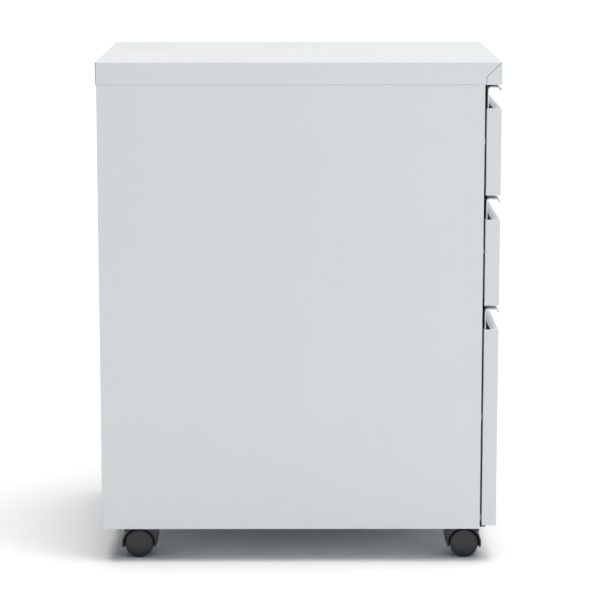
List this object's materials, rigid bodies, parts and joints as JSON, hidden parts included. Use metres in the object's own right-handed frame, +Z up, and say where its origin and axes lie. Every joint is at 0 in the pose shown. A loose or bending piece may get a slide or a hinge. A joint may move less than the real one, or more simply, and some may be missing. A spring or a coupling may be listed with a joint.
{
  "type": "mobile drawer pedestal",
  "caption": "Pale grey steel filing pedestal with box drawers over a file drawer, full-width finger pulls, a lock and twin-wheel casters.",
  "frame": {"origin": "on the floor under the middle of the cabinet", "axes": "+X to the cabinet's right, -Y towards the drawer fronts, +Z up"},
  "size_m": [0.39, 0.52, 0.66],
  "materials": {
    "body_paint": "satin powder coat, pale grey",
    "front_paint": "satin powder coat, pale grey",
    "inner_paint": "thin powder coat, pale grey",
    "zinc": "bright zinc plating",
    "bright_steel": "polished",
    "hood_plastic": "moulded black nylon",
    "wheel_plastic": "moulded dark grey nylon",
    "silicone": "soft milky silicone"
  },
  "bodies": {
    "cabinet": {"top_panel": "body_paint", "front_rail": "body_paint", "side_panel_left": "body_paint", "side_panel_right": "body_paint", "back_panel": "body_paint", "base_panel": "body_paint", "top_cross_rail": "body_paint", "caster_rails": "inner_paint", "slide_posts": "inner_paint", "slide_rivets": "zinc", "bumpers": "silicone", "lock_housing": "bright_steel", "lock_bar_rivets": "zinc", "caster_stems": "zinc", "slide_outer_1": "zinc", "slide_outer_2": "zinc", "slide_outer_3": "zinc"},
    "drawer_1": {"drawer_1_front": "front_paint", "drawer_1_pull": "front_paint", "drawer_1_tray": "inner_paint", "drawer_1_tray_ends": "inner_paint", "drawer_1_fasteners": "zinc", "slide_inner_1": "zinc"},
    "drawer_2": {"drawer_2_front": "front_paint", "drawer_2_pull": "front_paint", "drawer_2_tray": "inner_paint", "drawer_2_tray_ends": "inner_paint", "drawer_2_fasteners": "zinc", "slide_inner_2": "zinc"},
    "drawer_3": {"drawer_3_front": "front_paint", "drawer_3_pull": "front_paint", "drawer_3_tray": "inner_paint", "drawer_3_tray_ends": "inner_paint", "drawer_3_fasteners": "zinc", "slide_inner_3": "zinc", "folder_rails": "zinc"},
    "cage_1": {"slide_cage_1": "zinc"},
    "cage_2": {"slide_cage_2": "zinc"},
    "slide_3_middle": {"slide_mid_3": "zinc"},
    "cage_3_outer": {"slide_cage_3_outer": "zinc"},
    "cage_3_inner": {"slide_cage_3_inner": "zinc"},
    "lock_turn": {"lock_plug": "bright_steel", "lock_cam": "zinc"},
    "lock_bar_body": {"lock_bar": "zinc"},
    "caster_fl_swivel": {"caster_fl_hood": "hood_plastic", "caster_fl_axle": "zinc"},
    "caster_fl_outer_roll": {"caster_fl_wheel_outer": "wheel_plastic"},
    "caster_fl_inner_roll": {"caster_fl_wheel_inner": "wheel_plastic"},
    "caster_fr_swivel": {"caster_fr_hood": "hood_plastic", "caster_fr_axle": "zinc"},
    "caster_fr_outer_roll": {"caster_fr_wheel_outer": "wheel_plastic"},
    "caster_fr_inner_roll": {"caster_fr_wheel_inner": "wheel_plastic"},
    "caster_bl_swivel": {"caster_bl_hood": "hood_plastic", "caster_bl_axle": "zinc"},
    "caster_bl_outer_roll": {"caster_bl_wheel_outer": "wheel_plastic"},
    "caster_bl_inner_roll": {"caster_bl_wheel_inner": "wheel_plastic"},
    "caster_br_swivel": {"caster_br_hood": "hood_plastic", "caster_br_axle": "zinc"},
    "caster_br_outer_roll": {"caster_br_wheel_outer": "wheel_plastic"},
    "caster_br_inner_roll": {"caster_br_wheel_inner": "wheel_plastic"}
  },
  "joints": [
    {"name": "drawer_1_slide", "type": "slide", "parent": "cabinet", "child": "drawer_1", "axis": [0, -1, 0], "range_m": [0, 0.33]},
    {"name": "drawer_2_slide", "type": "slide", "parent": "cabinet", "child": "drawer_2", "axis": [0, -1, 0], "range_m": [0, 0.33]},
    {"name": "drawer_3_slide", "type": "slide", "parent": "cabinet", "child": "drawer_3", "axis": [0, -1, 0], "range_m": [0, 0.43]},
    {"name": "cage_1_roll", "type": "slide", "parent": "cabinet", "child": "cage_1", "axis": [0, -1, 0], "range_m": [0, 0.165]},
    {"name": "cage_2_roll", "type": "slide", "parent": "cabinet", "child": "cage_2", "axis": [0, -1, 0], "range_m": [0, 0.165]},
    {"name": "slide_3_middle_slide", "type": "slide", "parent": "cabinet", "child": "slide_3_middle", "axis": [0, -1, 0], "range_m": [0, 0.215]},
    {"name": "cage_3_outer_roll", "type": "slide", "parent": "cabinet", "child": "cage_3_outer", "axis": [0, -1, 0], "range_m": [0, 0.1075]},
    {"name": "cage_3_inner_roll", "type": "slide", "parent": "cabinet", "child": "cage_3_inner", "axis": [0, -1, 0], "range_m": [0, 0.3225]},
    {"name": "lock_turn_hinge", "type": "hinge", "parent": "cabinet", "child": "lock_turn", "pos_m": [0.168, -0.25, 0.645], "axis": [0, -1, 0], "range_deg": [0, 90]},
    {"name": "lock_bar_lift", "type": "slide", "parent": "cabinet", "child": "lock_bar_body", "axis": [0, 0, 1], "range_m": [0, 0.00919]},
    {"name": "caster_fl_swivel_hinge", "type": "hinge", "parent": "cabinet", "child": "caster_fl_swivel", "pos_m": [-0.152, -0.204, 0.046], "axis": [0, 0, 1], "continuous": true},
    {"name": "caster_fl_outer_spin", "type": "hinge", "parent": "caster_fl_swivel", "child": "caster_fl_outer_roll", "pos_m": [-0.152, -0.22, 0.019], "axis": [1, 0, 0], "continuous": true},
    {"name": "caster_fl_inner_spin", "type": "hinge", "parent": "caster_fl_swivel", "child": "caster_fl_inner_roll", "pos_m": [-0.152, -0.22, 0.019], "axis": [1, 0, 0], "continuous": true},
    {"name": "caster_fr_swivel_hinge", "type": "hinge", "parent": "cabinet", "child": "caster_fr_swivel", "pos_m": [0.152, -0.204, 0.046], "axis": [0, 0, 1], "continuous": true},
    {"name": "caster_fr_outer_spin", "type": "hinge", "parent": "caster_fr_swivel", "child": "caster_fr_outer_roll", "pos_m": [0.152, -0.22, 0.019], "axis": [1, 0, 0], "continuous": true},
    {"name": "caster_fr_inner_spin", "type": "hinge", "parent": "caster_fr_swivel", "child": "caster_fr_inner_roll", "pos_m": [0.152, -0.22, 0.019], "axis": [1, 0, 0], "continuous": true},
    {"name": "caster_bl_swivel_hinge", "type": "hinge", "parent": "cabinet", "child": "caster_bl_swivel", "pos_m": [-0.152, 0.196, 0.046], "axis": [0, 0, 1], "continuous": true},
    {"name": "caster_bl_outer_spin", "type": "hinge", "parent": "caster_bl_swivel", "child": "caster_bl_outer_roll", "pos_m": [-0.152, 0.212, 0.019], "axis": [1, 0, 0], "continuous": true},
    {"name": "caster_bl_inner_spin", "type": "hinge", "parent": "caster_bl_swivel", "child": "caster_bl_inner_roll", "pos_m": [-0.152, 0.212, 0.019], "axis": [1, 0, 0], "continuous": true},
    {"name": "caster_br_swivel_hinge", "type": "hinge", "parent": "cabinet", "child": "caster_br_swivel", "pos_m": [0.152, 0.196, 0.046], "axis": [0, 0, 1], "continuous": true},
    {"name": "caster_br_outer_spin", "type": "hinge", "parent": "caster_br_swivel", "child": "caster_br_outer_roll", "pos_m": [0.152, 0.212, 0.019], "axis": [1, 0, 0], "continuous": true},
    {"name": "caster_br_inner_spin", "type": "hinge", "parent": "caster_br_swivel", "child": "caster_br_inner_roll", "pos_m": [0.152, 0.212, 0.019], "axis": [1, 0, 0], "continuous": true}
  ],
  "couplings": [
    {"joint": "cage_1_roll", "follows": "drawer_1_slide", "ratio": 0.5},
    {"joint": "cage_2_roll", "follows": "drawer_2_slide", "ratio": 0.5},
    {"joint": "slide_3_middle_slide", "follows": "drawer_3_slide", "ratio": 0.5},
    {"joint": "cage_3_outer_roll", "follows": "drawer_3_slide", "ratio": 0.25},
    {"joint": "cage_3_inner_roll", "follows": "drawer_3_slide", "ratio": 0.75},
    {"joint": "lock_turn_hinge", "follows": "lock_bar_lift", "rad_per_m": 170.88}
  ]
}
